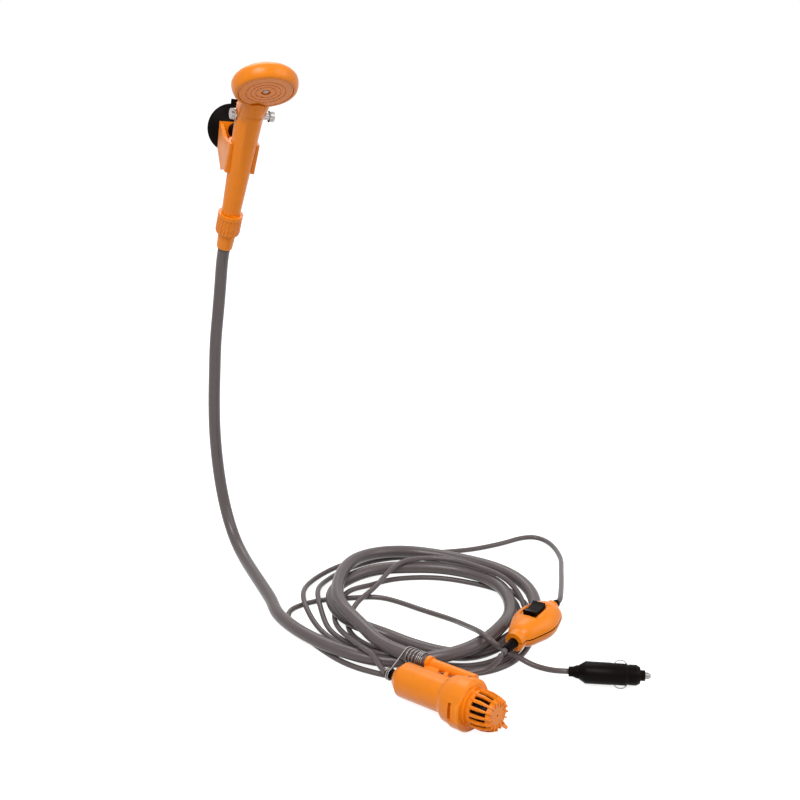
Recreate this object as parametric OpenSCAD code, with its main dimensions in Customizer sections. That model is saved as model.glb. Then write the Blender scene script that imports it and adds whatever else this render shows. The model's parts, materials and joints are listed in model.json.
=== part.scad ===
// Camp shower: handset on a suction holder, hose, submersible pump, switch and 12 volt plug.
// The wall is the plane y = 0 and the cup's sealing face lies on it, centred on the origin.
// Sizes are in millimetres. Heights in the cord routes are measured up from the floor.

/* [Handset] */
// Greatest radius of the shower head
head_r = 32.2; // [31:0.1:33]
// Radius of the spray plate
plate_r = 26; // [25:0.1:26.2]
// Handle radius under the head
handle_top_r = 14.4; // [13.8:0.1:14.8]
// Handle radius at the hose end
handle_end_r = 9.8; // [9.6:0.1:10.4]
// Tilt of the spray face below square to the handle, degrees
face_tilt = 37; // [34:1:40]
// Radius of the collar nut under its ribs
nut_r = 12.2; // [11.8:0.1:13]
// Number of ribs on the collar nut
nut_ribs = 20; // [14:2:26]
// Radius of the valve rod
rod_r = 3.8; // [3.4:0.1:4]

/* [Holder] */
// Radius of the suction cup
cup_r = 25; // [22:0.5:28]
// Lean of the handset away from the wall, degrees
lean = 18; // [15:1:20]
// Roll of the holder about the wall's normal, degrees
roll = 8; // [4:0.5:9]
// Height of the clip round the handle
clip_h = 32; // [26:1:34]
// Wall thickness of the clip
clip_wall = 2.6; // [2.2:0.1:3.4]

/* [Hose and cable] */
// Outer diameter of the hose
hose_d = 13; // [11:0.1:13.2]
// Outer diameter of the cable
cable_d = 5.4; // [4.4:0.1:5.5]
// Height of the cup's centre above the floor
floor_drop = 465; // [455:1:475]
// Wire diameter of the hose spring
wire_d = 1.3; // [1:0.1:1.4]

/* [Pump] */
// Radius of the motor housing
body_r = 16.4; // [16:0.1:16.8]
// Greatest radius of the collar
collar_r = 24; // [23.4:0.1:24.6]
// Radius of the strainer dome
strainer_r = 16.8; // [16.4:0.1:17.4]
// Length of the strainer dome
strainer_len = 23; // [21:0.5:25]
// Number of strainer slots
slot_count = 16; // [12:1:18]
// Width of a strainer slot
slot_w = 3.5; // [2.4:0.1:3.8]
// Twist that frees the strainer cap, degrees
cap_twist = 25; // [15:1:25]

/* [Switch] */
// Width of the switch case
switch_w = 46; // [44:0.5:47]
// Thickness of the switch case
switch_h = 32; // [31:0.5:33]
// Length of the rocker
rocker_len = 19; // [16:0.5:19]
// Width of the rocker
rocker_w = 14; // [11:0.5:14]

/* [Plug] */
// Radius of the plug's body
plug_r = 10.4; // [10.2:0.05:10.5]
// Stand-out of a side contact past the body
contact_out = 3; // [2:0.1:3.2]

/* [Hidden] */
$fn = 64;
hull_fn = 32;
fit = 0.06;
clear = 0.3;
floor_z = -floor_drop;

orange = [0.93, 0.51, 0.13];
grey = [0.41, 0.38, 0.38];
black = [0.08, 0.06, 0.06];
steel = [0.78, 0.79, 0.8];
brass = [0.78, 0.62, 0.3];
copper = [0.72, 0.45, 0.25];
rubber = [0.14, 0.13, 0.13];
white = [0.85, 0.84, 0.8];

// Handset, measured along the handle's axis from the middle of the clip
clip_x = -2;
clip_off = 50.6;
clip_drop = 22;
handle_end = -64;
handle_top = 56;
spigot_r = 9;
spigot_end = -78;
nut_end = -87;
lip_top = -83.5;
stem_r = 7;
ferrule_end = -105.5;
water_r = 5;
valve_z = 46.5;
rod_right = 24;
rod_left = -18.6;
groove_x = 9;
face_y = -34;
face_z = 85.7;
head_back = 24;
rim_r = head_r - 4;
belly = 10;
recess = 3.8;
plate_t = 2.5;
screw_r = 1.5;

// Holder, measured from the wall
plate_front = -17;
plate_back = -14;
plate_w = 32;
plate_x = clip_x * 0.4;
plate_top = 8;
plate_low = -20;
stud_r = 5;

// Pump, measured along its axis from the rear face
pump_at = [25.5, -372.7, floor_z + 15.8];
pump_yaw = -64;
pump_tilt = 5.5;
bay_r = 12.4;
bay_start = 8;
bay_end = 61;
cone_start = bay_end - 4;
flange_start = 64;
flange_end = 74;
chamber_r = 17;
spigot_out = 19;
spigot_tip = 80;
cap_start = 74.4;
ring_end = 87;
step_end = 90;
dome_end = step_end + strainer_len;
pipe_pos = [23.2, 10];
pipe_r = 4.8;
pipe_bore = 3.4;
pipe_end = 16;
port_z = 70;
gland_tip = -14;
shaft_r = 1.15;

// Switch, measured along its axis from the middle of the case
switch_at = [174, -366, floor_z + 32];
switch_yaw = 28.4;
switch_tilt = 3.7;
switch_roll = -8;
seat_y = 12.5;
rocker_z = 1.5;
pin_y = 10.5;
front_tip = -52;
rear_tip = 41;
screw_places = [-22, 23];
seam = 1.4;
cut = 100;

// Plug, measured along its axis from the end of the boot
plug_at = [177.2, -424.7, floor_z + 12.3];
plug_yaw = -29.7;
plug_roll = -33;
boot_len = 9.3;
shell_end = 57;
nose_end = 70.7;
plug_len = 76;
tip_r = 3.2;
fuse_start = 28;
fuse_end = 57.9;
contact_start = 41;
contact_end = 55;

// Cords
hose_sides = 8;
cable_sides = 6;
hose_step = 12;
cable_step = 8;
gap_step = 3;
coil_at = [100, -262];
coil_turn = -24;
coil_blend = 10;

// Hose loops: angle, radius and height of each station, anticlockwise from the landing to the pump
hose_stations = [
    [174, 160, 7], [190, 140, 10], [205, 128, 13], [220, 117, 13], [235, 109, 11.5], [250, 104, 10],
    [265, 101, 13], [280, 104, 19], [300, 103, 22], [316, 99, 24.5], [326, 95, 23], [338, 92, 17],
    [352, 92, 13], [390, 92, 13], [405, 85, 13], [422, 79, 13], [445, 76, 13], [460, 75, 13],
    [475, 82, 13], [490, 88, 13], [510, 93, 13], [525, 98, 13], [536, 94, 13], [552, 84, 13],
    [570, 76, 13], [580, 67, 12], [590, 60, 8], [602, 58, 7], [615, 63, 7], [630, 69, 7],
    [642, 79, 7], [654, 92, 7], [666, 99, 7], [677, 102, 10], [684, 106, 13.5], [702, 114, 13],
    [722, 119, 13], [742, 118, 13], [757, 113, 13], [770, 107, 13], [785, 102, 13], [800, 104, 13],
    [815, 109, 14], [828, 111, 16], [840, 109, 19], [852, 103, 24], [864, 97, 27], [876, 91, 27],
    [892, 87, 27], [910, 85, 27], [930, 82, 28], [945, 83.5, 28], [956, 90, 27.5], [964, 97, 26.5],
    [970, 106, 25.5]
];

// Cable loops: angle, radius and height of each station, clockwise from the pump to the switch
cable_stations = [
    [245, 116, 21], [238, 108, 23.5], [231, 101, 21], [223, 95, 14], [216, 92, 10], [206, 90, 8.5],
    [198, 89, 4.5], [190, 90, 3], [177, 89, 3], [170, 87, 6], [165, 86, 10], [158, 83, 10],
    [150, 78, 10], [143, 76, 4], [130, 75, 3], [113, 73, 3], [98, 70, 3], [74, 72, 3],
    [58, 76, 3], [45, 81, 3], [33, 91, 3], [22, 100, 3], [10, 102, 3], [-5, 101, 3],
    [-20, 104, 3], [-40, 112, 3], [-55, 111, 3], [-68, 104, 3], [-80, 92, 3], [-92, 84, 3],
    [-110, 78, 3], [-123, 79, 3], [-136, 81, 3], [-152, 81, 3], [-163, 79, 3], [-175, 73, 4],
    [-188, 67, 9.5], [-205, 61, 9.5], [-220, 61, 9.5], [-232, 65, 12], [-242, 69, 18], [-250, 72, 23],
    [-258, 75, 23], [-270, 77, 23], [-284, 80, 23], [-301, 83, 23], [-315, 85, 23], [-329, 91, 23],
    [-338, 97, 23], [-345, 102, 20], [-353, 106, 11], [-360, 108, 6], [-367, 108.5, 3], [-380, 110.5, 3],
    [-400, 118.5, 3], [-415, 117.5, 3], [-428, 111, 3], [-440, 99, 3], [-452, 91, 3], [-470, 85, 3],
    [-483, 86, 3], [-496, 89, 3], [-506, 93, 3], [-516, 97, 3], [-529, 100, 3], [-536, 100, 3],
    [-543, 103, 8], [-548, 107, 11.5], [-555, 113, 11.5], [-561, 117, 6], [-568, 120, 3], [-576, 120, 3],
    [-590, 119, 3], [-605, 118, 3], [-620, 117, 3], [-635, 112, 3], [-648, 106, 3], [-662, 100, 3],
    [-675, 97, 3], [-690, 102, 3], [-702, 108, 3], [-712, 111, 3], [-725, 115, 3], [-740, 118, 3],
    [-760, 125, 3], [-775, 124, 3], [-788, 118, 3], [-800, 106, 3], [-812, 97, 3], [-830, 92, 3],
    [-843, 93, 3], [-856, 96, 3], [-866, 100, 3], [-876, 104, 3], [-890, 110, 3], [-897, 115, 6],
    [-904, 121, 11], [-912, 127, 11], [-919, 131, 6], [-927, 133, 3], [-936, 132, 3], [-947, 131, 3],
    [-965, 126, 3], [-980, 124, 3], [-995, 126, 3]
];

// Hose from the handset down the wall to the floor
drop_points = [
    [-23.5, -10, 301], [-28, -10.5, 270], [-33, -11.5, 238], [-36, -12, 205], [-39, -13, 171],
    [-41, -15, 135], [-41, -18, 100], [-40, -24, 68], [-38, -36, 37], [-36, -56, 16], [-35, -84, 8],
    [-35, -116, 7]
];

// Cable from the loops round to the rear of the switch
lead_points = [
    [200, -163, 3], [226, -166, 3], [250, -166, 3], [271, -164, 3], [288, -168, 3], [296, -182, 3],
    [293, -206, 6], [281, -238, 12], [262, -270, 19], [240, -306, 27]
];

// Cable from the front of the switch, round behind the pump and back across to the plug
tail_points = [
    [116, -393, 18], [108, -389, 11], [98, -385, 9], [83, -379, 6], [62, -372, 3], [44, -366, 3],
    [28, -353, 3], [13, -338, 3], [0, -322, 3], [-11, -301, 3], [-21, -270, 3], [-28, -240, 3],
    [-29, -218, 3], [-22, -203, 3], [-8, -198, 3], [10, -197, 3], [28, -201, 3], [47, -207, 3],
    [63, -212, 3], [76, -220, 3], [89, -236, 3], [102, -256, 3], [115, -277, 4], [121, -299, 9],
    [120, -328, 20], [117, -357, 32], [118, -372, 34], [125, -379.5, 27.5], [138, -379, 16],
    [146, -384, 12], [152, -391, 8], [160, -402, 7], [168, -414, 9]
];

// Places and frames

// Point of the handset's frame in the wall's frame
function handset_pt(p) =
    let (
        x = p[0] + clip_x,
        y = p[1] * cos(lean) - p[2] * sin(lean) - clip_off,
        z = p[1] * sin(lean) + p[2] * cos(lean) - clip_drop
    )
    [x * cos(roll) + z * sin(roll), y, z * cos(roll) - x * sin(roll)];

// Point [left, up, along] of a piece that lies on the floor
function axis_pt(at, yaw, tilt, p) =
    at + p[0] * [-sin(yaw), cos(yaw), 0]
    + p[1] * [-cos(yaw) * sin(tilt), -sin(yaw) * sin(tilt), cos(tilt)]
    + p[2] * [cos(yaw) * cos(tilt), sin(yaw) * cos(tilt), sin(tilt)];

module handset_frame() {
    rotate([0, roll, 0]) translate([clip_x, -clip_off, -clip_drop]) rotate([lean, 0, 0]) children();
}

module face_frame() {
    translate([0, face_y, face_z]) rotate([90 + face_tilt, 0, 0]) children();
}

module axis_frame(at, yaw, tilt, turn = 0) {
    translate(at) rotate([0, -tilt, yaw]) rotate([90, 0, 90]) rotate([0, 0, turn]) children();
}

module pump_frame() {
    axis_frame(pump_at, pump_yaw, pump_tilt) children();
}

module switch_frame() {
    axis_frame(switch_at, switch_yaw, switch_tilt, switch_roll) children();
}

module plug_frame() {
    axis_frame(plug_at, plug_yaw, 0) children();
}

// Cylinder between two heights
module rod(r, from, to) {
    translate([0, 0, from]) cylinder(r = r, h = to - from);
}

// Cone between two heights
module cone(r_from, r_to, from, to) {
    translate([0, 0, from]) cylinder(r1 = r_from, r2 = r_to, h = to - from);
}

// Ring between two radii and two heights
module tube(r_out, r_in, from, to) {
    difference() {
        rod(r_out, from, to);
        rod(r_in, from - 1, to + 1);
    }
}

// Round ring of a given section
module torus(ring_r, section_r) {
    rotate_extrude() translate([ring_r, 0]) circle(r = section_r, $fn = 24);
}

// Cords

function unit(v) = v / norm(v);

function heading(path, i) = unit(path[min(i + 1, len(path) - 1)] - path[max(i - 1, 0)]);

function ring_at(path, i, r, sides, ref) =
    let (t = heading(path, i), s = unit(cross(t, ref)), u = cross(t, s))
    [for (k = [0 : sides - 1]) path[i] + r * (cos(360 * k / sides) * s + sin(360 * k / sides) * u)];

// Unbroken tube of flat faces along a path; ref is a direction that the path never takes
module cord(path, d, sides, ref) {
    last = (len(path) - 1) * sides;
    points = [for (i = [0 : len(path) - 1]) each ring_at(path, i, d / 2, sides, ref)];
    walls = [
        for (i = [0 : len(path) - 2])
            for (k = [0 : sides - 1])
                let (a = i * sides + k, b = i * sides + (k + 1) % sides)
                each [[a, a + sides, b + sides], [a, b + sides, b]]
    ];
    caps = [for (k = [1 : sides - 2]) each [[0, k, k + 1], [last, last + k + 1, last + k]]];
    polyhedron(points = points, faces = concat(walls, caps));
}

// Mean of a station table over a short span of angle
function blended(keys, a) =
    let (h = coil_blend)
    (lookup(a - h, keys) + lookup(a - h / 2, keys) + lookup(a, keys)
        + lookup(a + h / 2, keys) + lookup(a + h, keys)) / 5;

// Loops about the coil's centre, worked out from their stations
function loops(stations, step) =
    let (
        radii = [for (s = stations) [s[0], s[1]]],
        heights = [for (s = stations) [s[0], s[2]]],
        first = stations[0][0],
        last = stations[len(stations) - 1][0],
        count = round(abs(last - first) / step)
    )
    [
        for (i = [0 : count])
            let (a = first + (last - first) * i / count, r = blended(radii, a), t = a + coil_turn)
            [coil_at[0] + r * cos(t), coil_at[1] + r * sin(t), floor_z + blended(heights, a)]
    ];

// Smooth curve through hand-set points
function spline_pt(p, i, t) =
    let (a = p[max(i - 1, 0)], b = p[i], c = p[i + 1], d = p[min(i + 2, len(p) - 1)])
    0.5 * (2 * b + (c - a) * t + (2 * a - 5 * b + 4 * c - d) * t * t
        + (3 * b - a - 3 * c + d) * t * t * t);

function spline(p, per) =
    concat([for (i = [0 : len(p) - 2]) for (k = [0 : per - 1]) spline_pt(p, i, k / per)], [p[len(p) - 1]]);

function raised(points) = [for (p = points) [p[0], p[1], p[2] + floor_z]];

// Least free gap between stretches of a path that are more than skip points apart
function least_gap(path, d, skip) =
    min([
        for (i = [0 : len(path) - 1 - skip])
            for (j = [i + skip : len(path) - 1])
                norm(path[i] - path[j])
    ]) - d;

function pump_pt(p) = axis_pt(pump_at, pump_yaw, pump_tilt, p);
function switch_pt(z) = axis_pt(switch_at, switch_yaw, switch_tilt, [0, 0, z]);
function plug_pt(z) = axis_pt(plug_at, plug_yaw, 0, [0, 0, z]);
function pipe_pt(z) = pump_pt([pipe_pos[0], pipe_pos[1], z]);

function hose_loops(step) =
    concat(loops(hose_stations, step), [pipe_pt(-10), pipe_pt(pipe_end - hose_d), pipe_pt(pipe_end)]);

function cable_loops(step) =
    concat(
        [pump_pt([0, 0, gland_tip]), pump_pt([0, 0, gland_tip - cable_d])],
        loops(cable_stations, step)
    );

// Holder and cup

module suction_cup() {
    color(black) {
        rotate([90, 0, 0]) rotate_extrude() polygon([
            [0, 0], [cup_r, 0], [cup_r, 1.2], [cup_r - 3, 4.2],
            [cup_r * 0.6, 8], [8, 12], [7, -plate_back - fit], [0, -plate_back - fit]
        ]);
        rotate([90, 0, 0]) rod(stud_r, 10, -plate_front + 0.5);
        rotate([90, 0, 0]) cone(8, 7, -plate_front + fit, -plate_front + 6);
        rotate([0, 10, 0]) translate([-3.5, -3, cup_r - 3]) cube([7, 1.6, 8]);
    }
}

module cheek_outline() {
    low = -clip_drop - clip_h / 2;
    high = -clip_drop + clip_h / 2;
    polygon([
        [plate_back, plate_top], [plate_back, plate_low], [-clip_off + 20, low - 1],
        [-clip_off + 8, low + 2], [-clip_off + 1, high - 3], [-clip_off + 17, high + 1]
    ]);
}

module holder() {
    color(orange) {
        difference() {
            union() {
                rotate([0, roll, 0]) {
                    translate([plate_x - plate_w / 2, plate_front, plate_low])
                        cube([plate_w, plate_back - plate_front, plate_top - plate_low]);
                    for (side = [-1, 1])
                        translate([plate_x + side * (plate_w / 2 - 1.8), 0, 0])
                            rotate([90, 0, 90]) translate([0, 0, -1.8])
                                linear_extrude(3.6) cheek_outline();
                }
                handset_frame() clip_ring();
            }
            rotate([90, 0, 0]) rod(stud_r + fit, 10, 30);
            handset_frame() clip_bore();
        }
    }
}

function handle_r(z) =
    handle_end_r + (handle_top_r - handle_end_r) * (z - handle_end) / (handle_top - handle_end);

module clip_ring() {
    rod(handle_r(clip_h / 2) + clear + clip_wall, -clip_h / 2, clip_h / 2);
}

// Tapered seat for the handle, open to the front
module clip_bore() {
    cone(handle_r(-30) + clear, handle_r(30) + clear, -30, 30);
    translate([-handle_r(-30) + 0.4, -40, -30]) cube([2 * handle_r(-30) - 0.8, 40, 60]);
    translate([-30, -40, -30]) cube([60, 36, 60]);
}

// Handset

module head_solid() {
    rotate_extrude() polygon(concat(
        [[0, 0]],
        [for (a = [90 : -15 : 0]) [rim_r + (head_r - rim_r) * cos(a), -belly + belly * sin(a)]],
        [for (a = [10 : 10 : 90]) [head_r * cos(a), -belly - (head_back - belly) * sin(a)]]
    ));
}

module handset_body() {
    color(orange) handset_frame() difference() {
        union() {
            cone(handle_end_r, handle_top_r, handle_end, handle_top);
            rod(spigot_r, spigot_end, handle_end);
            face_frame() head_solid();
            hull() {
                rod(handle_top_r - 0.4, handle_top - 12, handle_top - 2, $fn = hull_fn);
                face_frame() translate([0, -13, -head_back + 6])
                    cylinder(r = head_r / 2 - 1, h = 10, $fn = hull_fn);
            }
            for (z = [handle_top - 4, handle_top + 2])
                translate([0, -0.6, z]) rotate([0, 0, 205]) rotate_extrude(angle = 130)
                    translate([handle_top_r - 0.2, 0]) circle(r = 1.2, $fn = 24);
        }
        rod(water_r, spigot_end - 1, handle_top - 4);
        translate([0, 0, handle_top - 8]) rotate([24, 0, 0]) rod(water_r, 0, 30);
        translate([0, 0, valve_z]) rotate([0, 90, 0]) cylinder(r = rod_r + fit, h = 60, center = true);
        face_frame() difference() {
            union() {
                rod(plate_r - 1.2, -15, 1);
                rod(plate_r + 2 * clear, -recess, 1);
            }
            rod(4.6, -16, -recess + 0.7);
        }
        face_frame() rod(screw_r, -16, 1);
        translate([-20, -handle_end_r - 8, handle_end]) rotate([2.2, 0, 0])
            cube([40, 9, handle_top - handle_end - 6]);
    }
}

module spray_plate() {
    hole_rings = [[plate_r * 0.73, 24], [plate_r * 0.55, 18], [plate_r * 0.38, 12]];
    color(orange) handset_frame() face_frame() difference() {
        rod(plate_r, -plate_t - 0.3, -0.3);
        for (ring = hole_rings)
            for (k = [0 : ring[1] - 1])
                rotate([0, 0, 360 * k / ring[1]]) translate([ring[0], 0, -4])
                    cylinder(r = 0.5, h = 6, $fn = 16);
        for (ring = hole_rings)
            tube(ring[0] + 0.45, ring[0] - 0.45, -0.8, 1);
        rod(4.8, -2.1, 1);
        rod(screw_r + 0.2, -6, 1);
    }
}

module plate_seal() {
    color(rubber) handset_frame() face_frame() tube(plate_r, plate_r - 1.1, -recess + 0.02, -plate_t - 0.32);
}

module plate_screw() {
    color(steel) handset_frame() face_frame() difference() {
        union() {
            rod(screw_r - 0.02, -13, -2);
            rod(2.6, -2.08, -1);
        }
        translate([-4, -0.4, -1.5]) cube([8, 0.8, 1]);
    }
}

module valve_axis() {
    handset_frame() translate([0, 0, valve_z]) rotate([0, 90, 0]) children();
}

module valve_rod() {
    color(steel) valve_axis() difference() {
        rod(rod_r, rod_left, rod_right);
        for (x = [-groove_x, groove_x])
            tube(rod_r + 1, rod_r - 1.4, x - 0.9, x + 0.9);
    }
}

// Ribbed end cap with a flange on its inner side
module valve_knob(from, to, flange_from, flange_to) {
    difference() {
        union() {
            rod(rod_r + 1, from, to);
            rod(rod_r + 1.8, flange_from, flange_to);
            for (k = [0 : 11])
                rotate([0, 0, 30 * k]) translate([rod_r + 1, 0, from])
                    cylinder(r = 0.5, h = to - from, $fn = 16);
        }
        rod(rod_r + 0.02, from + (from < 0 ? 1 : -1), to + (from < 0 ? 1 : -1));
    }
}

module valve_knob_right() {
    color(steel) valve_axis() valve_knob(rod_right - 4, rod_right + 1, rod_right - 4, rod_right - 2.6);
}

module valve_knob_left() {
    color(steel) valve_axis() valve_knob(rod_left - 1, rod_left + 3.6, rod_left + 2.4, rod_left + 3.6);
}

module valve_o_rings() {
    color(rubber) valve_axis()
        for (x = [-groove_x, groove_x])
            translate([0, 0, x]) torus(rod_r - 0.7, 0.68);
}

module collar_nut() {
    color(orange) handset_frame() difference() {
        union() {
            rod(nut_r, nut_end, handle_end - clear);
            rod(nut_r + 1, handle_end - 4.5, handle_end - clear);
            for (k = [0 : nut_ribs - 1])
                rotate([0, 0, 360 * k / nut_ribs]) translate([nut_r - 0.7, 0, nut_end + 1.5])
                    cylinder(r = 1.4, h = handle_end - nut_end - 5.5, $fn = 16);
        }
        rod(spigot_r + fit, lip_top, handle_end + 1);
        rod(stem_r + fit, nut_end - 1, lip_top + 1);
    }
}

module nut_washer() {
    color(rubber) handset_frame() tube(spigot_r - 0.3, water_r, spigot_end - 1.6, spigot_end - 0.02);
}

module hose_tail() {
    color(brass) handset_frame() difference() {
        union() {
            rod(spigot_r - 0.2, lip_top + 0.1, spigot_end - 1.62);
            rod(stem_r, ferrule_end + 0.1, lip_top + 1);
        }
        rod(water_r - 1, ferrule_end - 1, spigot_end);
    }
}

module hose_ferrule() {
    color(orange) handset_frame() difference() {
        cone(8.3, 9.4, ferrule_end, nut_end - clear);
        rod(stem_r + 0.02, ferrule_end - 1, 0);
    }
}

// Hose

module hose_drop() {
    landing = loops(hose_stations, hose_step);
    bend = concat(
        [handset_pt([0, 0, ferrule_end - hose_d])],
        raised(drop_points),
        [2 * landing[0] - landing[1]]
    );
    path = concat([handset_pt([0, 0, ferrule_end])], spline(bend, 2), [landing[0]]);
    color(grey) cord(path, hose_d, hose_sides, [1, 0, 0]);
}

module hose_coil() {
    echo(hose_gap = least_gap(hose_loops(gap_step), hose_d, 8));
    color(grey) cord(hose_loops(hose_step), hose_d, hose_sides, [0, 0, 1]);
}

// Close and open curls round the hose end, a straight leg, and curls round the gland
function spring_path(step) =
    let (
        coil_r = hose_d / 2 + wire_d / 2 + 0.4,
        gland_r = 4.6 + wire_d / 2 + 0.4,
        leave = 130,
        close_pitch = wire_d + 0.7,
        open_pitch = 3.9,
        top = pipe_end - 1.5,
        close = 3,
        open = 4,
        curls = close + open,
        gland_curls = 2
    )
    concat(
        [
            for (i = [0 : step * curls])
                let (n = i / step, a = leave + 360 * (n - curls))
                pump_pt([
                    pipe_pos[0] + coil_r * cos(a),
                    pipe_pos[1] + coil_r * sin(a),
                    top - close_pitch * min(n, close) - open_pitch * max(n - close, 0)
                ])
        ],
        [
            for (i = [0 : step * gland_curls])
                let (n = i / step, a = leave + 360 * n)
                pump_pt([gland_r * cos(a), gland_r * sin(a), gland_tip + 5.5 - close_pitch * n])
        ]
    );

module hose_spring() {
    echo(spring_gap = least_gap(spring_path(24), wire_d, 14));
    color(steel) cord(spring_path(16), wire_d, 6, pump_pt([0, 0, 1]) - pump_at);
}

// Pump

module pump_body() {
    pipe_turn = atan2(pipe_pos[1], pipe_pos[0]);
    pipe_off = norm(pipe_pos);
    color(orange) pump_frame() difference() {
        union() {
            rotate_extrude() polygon([
                [0, 0], [body_r - 6.4, 0], [body_r, 8], [body_r, cone_start], [collar_r - 2.5, flange_start],
                [collar_r - 1, flange_end], [spigot_out, flange_end],
                [spigot_out, spigot_tip], [0, spigot_tip]
            ]);
            translate([pipe_pos[0], pipe_pos[1], 0]) rod(pipe_r, pipe_end, flange_end - 1.5);
            translate([pipe_pos[0], pipe_pos[1], 0]) cone(pipe_r, pipe_r + 1.6, pipe_end, pipe_end + 2);
            translate([pipe_pos[0], pipe_pos[1], 0]) rod(pipe_r + 1.6, pipe_end + 2, pipe_end + 6);
            for (z = [[pipe_end + 3, 35], [41.5, 46], [54, flange_start]])
                rotate([0, 0, pipe_turn]) translate([body_r - 3, -2.5, z[0]])
                    cube([pipe_off - body_r, 5, z[1] - z[0]]);
            for (k = [0 : 2])
                rotate([0, 0, 120 * k + 40]) translate([spigot_out - 0.5, -2, flange_end + 2.4])
                    cube([2.6, 4, 2.2]);
        }
        rod(bay_r, bay_start, bay_end + 1);
        rod(chamber_r, bay_end, spigot_tip + 1);
        rod(4.1, -1, bay_start + 1);
        translate([pipe_pos[0], pipe_pos[1], 0]) rod(pipe_bore, pipe_end - 1, port_z);
        rotate([0, 0, pipe_turn]) translate([0, 0, port_z - 3]) rotate([0, 90, 0])
            cylinder(r = 2.6, h = pipe_off);
    }
}

module cable_gland() {
    color(black) pump_frame() {
        rod(4, -1, bay_start);
        rod(5.4, -4, -0.05);
        cone(4, 5.2, gland_tip, -3);
    }
}

module motor_can() {
    color(steel) pump_frame() difference() {
        rod(bay_r - 0.2, bay_start + 4.1, bay_end - 0.4);
        rod(bay_r - 1, bay_start + 3, bay_end - 1.8);
        rod(3.02, bay_end - 8, bay_end + 2);
    }
}

module motor_magnets() {
    color(rubber) pump_frame() difference() {
        tube(11.35, 9.3, 18, 46);
        for (side = [0, 90])
            rotate([0, 0, side + 45]) translate([-1.5, -20, 10]) cube([3, 40, 40]);
    }
}

module end_bell() {
    color(black) pump_frame() tube(bay_r - 0.2, 3.02, 9, 12);
}

module armature() {
    color(copper) pump_frame() difference() {
        rod(8.6, 20, 44);
        rod(shaft_r + 0.01, 10, 50);
        for (k = [0 : 4])
            rotate([0, 0, 72 * k]) translate([4, -1, 10]) cube([6, 2, 40]);
    }
}

module commutator() {
    color(copper) pump_frame() tube(3.2, shaft_r + 0.01, 13, 19);
}

module motor_shaft() {
    color(steel) pump_frame() rod(shaft_r, 8.5, 72);
}

module shaft_bushings() {
    color(brass) pump_frame() {
        tube(3, shaft_r + 0.05, 9, 12);
        tube(3, shaft_r + 0.05, bay_end - 4, bay_end - 0.4);
    }
}

module brushes() {
    color(rubber) pump_frame()
        for (side = [0, 180])
            rotate([0, 0, side]) translate([3.4, -1.2, 14]) cube([4.6, 2.4, 3.4]);
}

module seal_plate() {
    color(black) pump_frame() tube(chamber_r - 0.05, 4.02, bay_end + 0.05, bay_end + 3.5);
}

module shaft_seal() {
    color(rubber) pump_frame() tube(4, shaft_r + 0.05, bay_end + 0.3, bay_end + 3.2);
}

module impeller() {
    color(black) pump_frame() difference() {
        union() {
            rod(14.4, 65.6, 66.8);
            rod(3.8, 65.6, 72.4);
            for (k = [0 : 5])
                rotate([0, 0, 60 * k]) translate([2.5, -0.7, 66]) cube([11.4, 1.4, 6]);
        }
        rod(shaft_r + 0.01, 60, 77);
    }
}

module volute_plate() {
    color(black) pump_frame() tube(chamber_r - 0.05, 7, 74.2, 76);
}

module cap_seal() {
    color(rubber) pump_frame() translate([0, 0, spigot_tip + 0.66]) torus(18, 0.6);
}

// Dome wall, thin and open behind
module dome() {
    rotate_extrude() polygon([
        [strainer_r, ring_end], [strainer_r, dome_end - 12], [strainer_r - 1.2, dome_end - 6],
        [strainer_r - 4.4, dome_end], [0, dome_end], [0, dome_end - 2],
        [strainer_r - 5.6, dome_end - 2], [strainer_r - 3.2, dome_end - 6.5],
        [strainer_r - 2.2, dome_end - 12], [strainer_r - 2.2, ring_end]
    ]);
}

// Proud rib beside each slot, bent in over the front
module dome_rib(proud) {
    rotate([90, 0, 0]) translate([0, 0, -0.55]) linear_extrude(1.1) polygon([
        [strainer_r - 1, step_end], [strainer_r + proud, step_end + 3], [strainer_r + proud, dome_end - 11],
        [strainer_r - 1.2 + proud, dome_end - 5], [strainer_r - 3.4 + proud, dome_end + 1.2],
        [strainer_r - 8, dome_end + 0.6], [strainer_r - 8, dome_end - 0.5], [strainer_r - 4.6, dome_end - 0.5],
        [strainer_r - 2, dome_end - 8]
    ]);
}

module strainer_cap() {
    pitch = 360 / slot_count;
    color(orange) pump_frame() difference() {
        union() {
            difference() {
                union() {
                    rod(collar_r, cap_start, ring_end - 2);
                    cone(collar_r, collar_r - 1.6, ring_end - 2, ring_end);
                    rod(spigot_out, ring_end - 1, step_end);
                }
                rod(spigot_out + clear, cap_start - 1, spigot_tip + 1.4);
                rod(strainer_r - 2.2, cap_start - 1, step_end + 1);
            }
            difference() {
                dome();
                for (k = [0 : slot_count - 1])
                    rotate([0, 0, pitch * k]) translate([8, -slot_w / 2, step_end + 4])
                        cube([20, slot_w, strainer_len - 7.5]);
                rod(1, dome_end - 5, dome_end + 5);
            }
            for (k = [0 : slot_count - 1])
                rotate([0, 0, pitch * (k + 0.5)]) dome_rib(0.8);
            rotate([0, 0, -60]) rotate([90, 0, 0]) translate([0, 0, -1.5]) linear_extrude(3)
                polygon([
                    [strainer_r - 5, dome_end - 1], [strainer_r - 1, dome_end - 6],
                    [strainer_r + 3.4, dome_end + 2]
                ]);
        }
        for (k = [0 : 2])
            rotate([0, 0, 120 * k + 40]) bayonet_slot();
    }
}

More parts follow.
